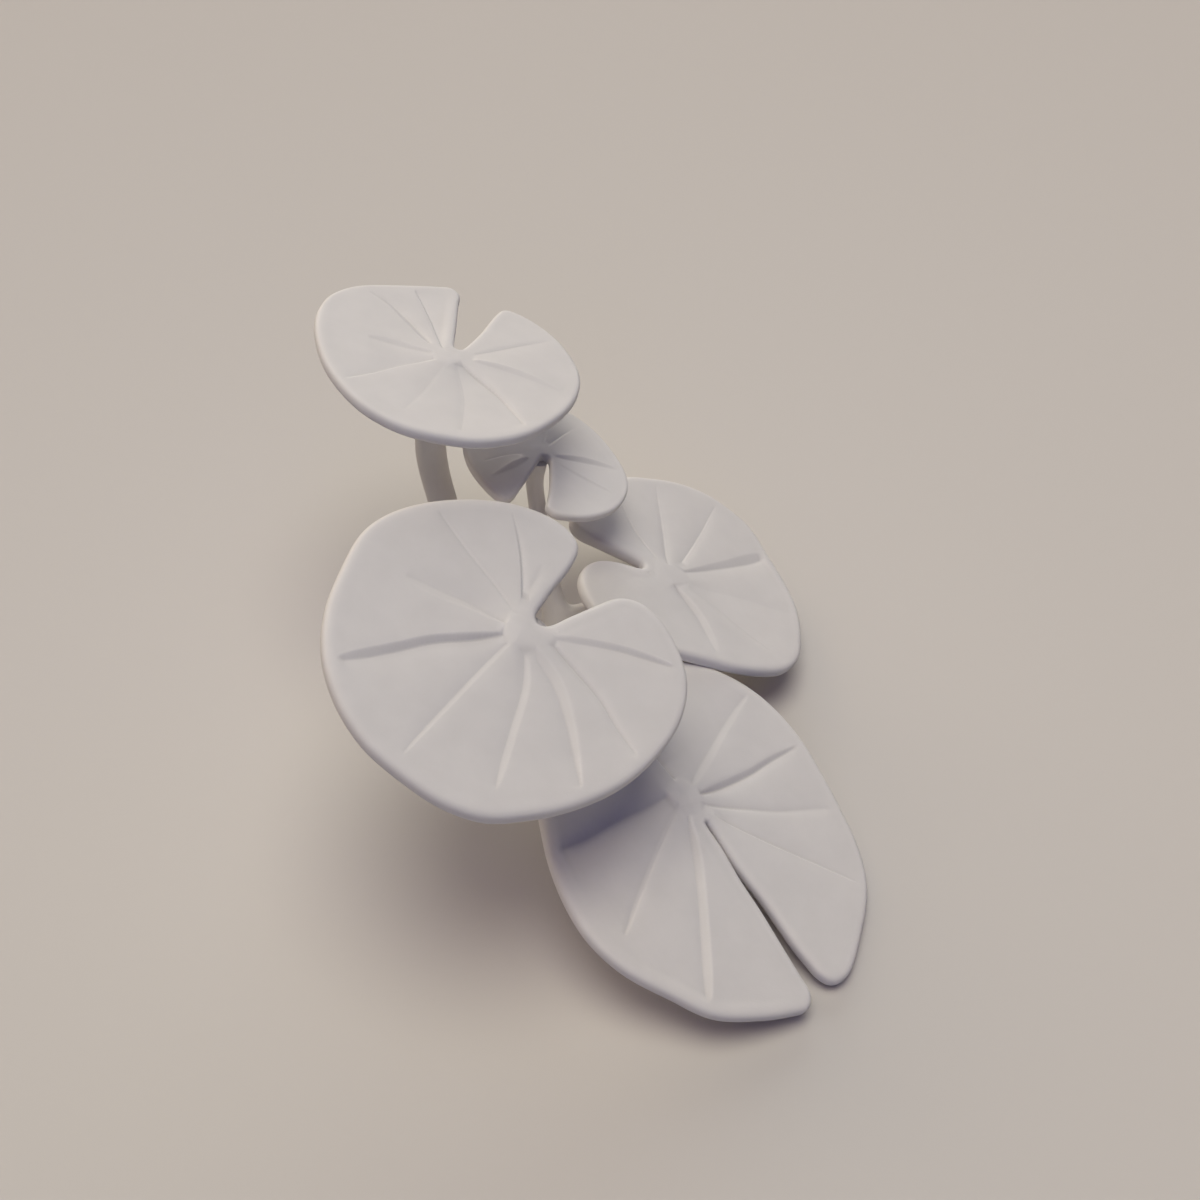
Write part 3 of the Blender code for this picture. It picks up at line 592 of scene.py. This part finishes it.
def make_cluster():
    """One closed mesh of the base and all the stems with rounded crotches."""
    bars = [extended(key) for key in STEMS]
    points, faces = mound()
    for places, along, radii in bars:
        more, loops = sweep(places, along, radii)
        faces = faces + [tuple(i + len(points) for i in loop) for loop in loops]
        points = np.vstack([points, more])
    cluster = add_mesh("cluster", points, faces)
    remesh = cluster.modifiers.new("remesh", "REMESH")
    remesh.mode = "VOXEL"
    remesh.voxel_size = VOXEL * MM
    apply_modifiers(cluster)
    mesh = cluster.data
    places = np.empty(len(mesh.vertices) * 3)
    mesh.vertices.foreach_get("co", places)
    places = places.reshape(-1, 3) / MM
    for turn in range(FITTING_ROUNDS):
        gap = joined_distance(places, bars)
        slope = np.column_stack([joined_distance(places + shift, bars) - gap
                                 for shift in np.eye(3) * PROBE]) / PROBE
        slope /= np.maximum((slope ** 2).sum(1), SMALLEST_SLOPE ** 2)[:, None]
        places = places - np.clip(gap, -LONGEST_SHIFT, LONGEST_SHIFT)[:, None] * slope
    mesh.vertices.foreach_set("co", (places * MM).ravel())
    mesh.update()
    return cluster


def sleeve(key, past=0.0):
    """Bar round the stretch of a stem that leaves the crown, and some way past its end."""
    places, along, radii, cut = stem_stations(key)
    places, along, radii = places[cut:], along[cut:], radii[cut:] + SLEEVE
    if past:
        places = np.vstack([places, places[-1] + along[-1] * past])
        along, radii = np.vstack([along, along[-1]]), np.append(radii, radii[-1])
    points, faces = sweep(places, along, radii)
    return add_mesh("sleeve_" + key, points, faces)


def boolean(thing, other, operation):
    """Boolean step of one mesh with another, applied."""
    step = thing.modifiers.new(other.name, "BOOLEAN")
    step.operation = operation
    step.solver = "MANIFOLD"
    step.object = other
    apply_modifiers(thing)


def copy_of(thing, name):
    """Copy of an object with a mesh of its own."""
    twin = bpy.data.objects.new(name, thing.data.copy())
    bpy.context.scene.collection.objects.link(twin)
    return twin


def ground_block():
    """Block under the ground, whose top is the crown's cut."""
    shape = bmesh.new()
    bmesh.ops.create_cube(shape, size=GROUND_SIZE * MM)
    for vertex in shape.verts:
        vertex.co.z -= GROUND_SIZE * MM / 2
    mesh = bpy.data.meshes.new("ground")
    shape.to_mesh(mesh)
    shape.free()
    block = bpy.data.objects.new("ground", mesh)
    bpy.context.scene.collection.objects.link(block)
    return block


def make_stems():
    """The crown and the stems, each closed and cut from one cluster."""
    cluster = make_cluster()
    crown = copy_of(cluster, "lily_crown")
    made = {}
    for key in STEMS:
        stem = copy_of(cluster, "lily_stem_" + key)
        for thing, operation, past in ((stem, "INTERSECT", 0.0), (crown, "DIFFERENCE", 2 * PAST_END)):
            cutter = sleeve(key, past)
            boolean(thing, cutter, operation)
            bpy.data.objects.remove(cutter)
        made["stem_" + key] = stem
    cutter = ground_block()
    boolean(crown, cutter, "DIFFERENCE")
    bpy.data.objects.remove(cutter)
    bpy.data.objects.remove(cluster)
    made["crown"] = crown
    return made


def clay(name, colour, crease_shading_depth):
    """Dull off-white material with a faint mottle, painted shade in creases, a painted highlight on crests
    and fine grain.
    """
    shade = bpy.data.materials.new(name)
    shade.use_nodes = True
    nodes, links = shade.node_tree.nodes, shade.node_tree.links
    surface = nodes["Principled BSDF"]
    surface.inputs["Metallic"].default_value = 0.0
    surface.inputs["Specular IOR Level"].default_value = 0.25
    place = nodes.new("ShaderNodeTexCoord")

    def noise(scale, detail, roughness):
        node = nodes.new("ShaderNodeTexNoise")
        node.inputs["Scale"].default_value = scale
        node.inputs["Detail"].default_value = detail
        node.inputs["Roughness"].default_value = roughness
        links.new(place.outputs["Object"], node.inputs["Vector"])
        return node

    mottle = noise(55.0, 4.0, 0.55)
    tint = nodes.new("ShaderNodeValToRGB")
    tint.color_ramp.elements[0].position = 0.3
    tint.color_ramp.elements[1].position = 0.7
    tint.color_ramp.elements[0].color = (*[c * 0.975 for c in colour], 1.0)
    tint.color_ramp.elements[1].color = (*[min(1.0, c * 1.02) for c in colour], 1.0)
    links.new(mottle.outputs["Fac"], tint.inputs["Fac"])
    form = nodes.new("ShaderNodeNewGeometry")
    # Painted shade and highlight: low pointiness (creases) darkens the colour, high pointiness (crests)
    # lightens it
    crease_shading = nodes.new("ShaderNodeMapRange")
    crease_shading.inputs["From Min"].default_value = 0.5 - CREASE_SHADING_SPAN
    crease_shading.inputs["From Max"].default_value = 0.5 + CREASE_SHADING_SPAN
    crease_shading.inputs["To Min"].default_value = 1.0 - crease_shading_depth
    crease_shading.inputs["To Max"].default_value = 1.0 + 0.4 * crease_shading_depth
    links.new(form.outputs["Pointiness"], crease_shading.inputs["Value"])
    shaded_tint = nodes.new("ShaderNodeVectorMath")
    shaded_tint.operation = "SCALE"
    links.new(tint.outputs["Color"], shaded_tint.inputs[0])
    links.new(crease_shading.outputs["Result"], shaded_tint.inputs["Scale"])
    links.new(shaded_tint.outputs["Vector"], surface.inputs["Base Color"])
    dull = nodes.new("ShaderNodeMapRange")
    dull.inputs["To Min"].default_value = 0.72
    dull.inputs["To Max"].default_value = 0.86
    links.new(mottle.outputs["Fac"], dull.inputs["Value"])
    links.new(dull.outputs["Result"], surface.inputs["Roughness"])
    grain = noise(1400.0, 3.0, 0.6)
    lumps = noise(160.0, 3.0, 0.5)
    fine = nodes.new("ShaderNodeBump")
    fine.inputs["Strength"].default_value = 0.35
    fine.inputs["Distance"].default_value = 0.00015
    links.new(grain.outputs["Fac"], fine.inputs["Height"])
    broad = nodes.new("ShaderNodeBump")
    broad.inputs["Strength"].default_value = 0.12
    broad.inputs["Distance"].default_value = 0.0004
    links.new(lumps.outputs["Fac"], broad.inputs["Height"])
    links.new(fine.outputs["Normal"], broad.inputs["Normal"])
    links.new(broad.outputs["Normal"], surface.inputs["Normal"])
    return shade


def make_floor():
    """Plain pale floor just under the plant."""
    mesh = bpy.data.meshes.new("floor")
    corners = [(x * FLOOR_HALF, y * FLOOR_HALF, 0) for x, y in ((-1, -1), (1, -1), (1, 1), (-1, 1))]
    mesh.from_pydata(corners, [], [(0, 1, 2, 3)])
    floor = bpy.data.objects.new("floor", mesh)
    floor.location.z = -FLOOR_DROP
    bpy.context.scene.collection.objects.link(floor)
    shade = bpy.data.materials.new("floor_matte")
    shade.use_nodes = True
    surface = shade.node_tree.nodes["Principled BSDF"]
    surface.inputs["Base Color"].default_value = (*FLOOR_COLOUR, 1.0)
    surface.inputs["Roughness"].default_value = 0.9
    mesh.materials.append(shade)


def make_overhead(height, width, strength):
    """Round light over the plant, with its strength on the ground in red, green and blue."""
    light = bpy.data.lights.new("overhead", "AREA")
    light.shape = "DISK"
    light.size = width
    share = (width / 2) ** 2 / ((width / 2) ** 2 + height ** 2)
    light.energy = math.pi ** 2 * (width / 2) ** 2 / share * max(strength)
    light.color = [part / max(strength) for part in strength]
    lamp = bpy.data.objects.new("overhead", light)
    lamp.location.z = height
    bpy.context.scene.collection.objects.link(lamp)


def make_light(name, azimuth, elevation, spread, strength):
    """Soft light from a direction, with its strength in red, green and blue."""
    light = bpy.data.lights.new(name, "SUN")
    light.angle = math.radians(spread)
    light.energy = math.pi * max(strength)
    light.color = [part / max(strength) for part in strength]
    lamp = bpy.data.objects.new(name, light)
    a, e = math.radians(azimuth), math.radians(elevation)
    direction = Vector((math.cos(a) * math.cos(e), math.sin(a) * math.cos(e), math.sin(e)))
    lamp.rotation_euler = direction.to_track_quat("Z", "Y").to_euler()
    bpy.context.scene.collection.objects.link(lamp)


def make_camera():
    """Camera at the photograph's viewing angle."""
    data = bpy.data.cameras.new("camera")
    data.lens = CAMERA_LENS
    data.sensor_width = CAMERA_SENSOR
    data.clip_start, data.clip_end = 0.01, 20.0
    camera = bpy.data.objects.new("camera", data)
    camera.location = CAMERA_PLACE
    camera.rotation_euler = (CAMERA_PLACE - CAMERA_AIM).to_track_quat("Z", "Y").to_euler()
    bpy.context.scene.collection.objects.link(camera)
    bpy.context.scene.camera = camera


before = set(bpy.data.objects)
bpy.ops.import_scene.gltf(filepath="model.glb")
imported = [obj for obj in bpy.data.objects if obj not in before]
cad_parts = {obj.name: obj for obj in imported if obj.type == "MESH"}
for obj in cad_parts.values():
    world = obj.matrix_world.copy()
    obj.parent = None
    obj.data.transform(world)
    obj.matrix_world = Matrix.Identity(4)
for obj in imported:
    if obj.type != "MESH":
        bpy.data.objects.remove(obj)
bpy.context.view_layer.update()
make_camera()
make_floor()
bpy.context.scene.view_settings.view_transform = "Standard"
make_overhead(1.15, 0.8, (0.076, 0.090, 0.105))
make_light("high", 0, 90, 40, (0.459, 0.431, 0.341))
make_light("left", 180, 55, 40, (0.088, 0.073, 0.058))
make_light("back", 90, 22, 40, (0.242, 0.256, 0.260))
make_light("back_left", 135, 22, 40, (0.257, 0.211, 0.163))
make_light("back_right", 45, 22, 40, (0.003, 0.003, 0.034))
make_light("front", 270, 22, 40, (0.014, 0.027, 0.074))
make_light("front_high", 270, 70, 40, (0.036, 0.023, 0.065))

# Leaves get painted crease shade and crest highlight; stems and crown get none
leaf_clay = clay("leaf_clay", LEAF_COLOUR, LEAF_CREASE_SHADING)
stem_clay = clay("stem_clay", STEM_COLOUR, 0.0)
crown_clay = clay("crown_clay", STEM_COLOUR, 0.0)
for node, thing in make_stems().items():
    kind = "crown" if node == "crown" else "stem"
    thing.data.materials.clear()
    thing.data.materials.append(crown_clay if kind == "crown" else stem_clay)
    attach(thing, "root")
    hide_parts(node)
for node, leaf in LEAVES.items():
    thing = make_leaf("lily_" + node, leaf)
    thing.data.materials.append(leaf_clay)
    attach(thing, "root")
    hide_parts(node)
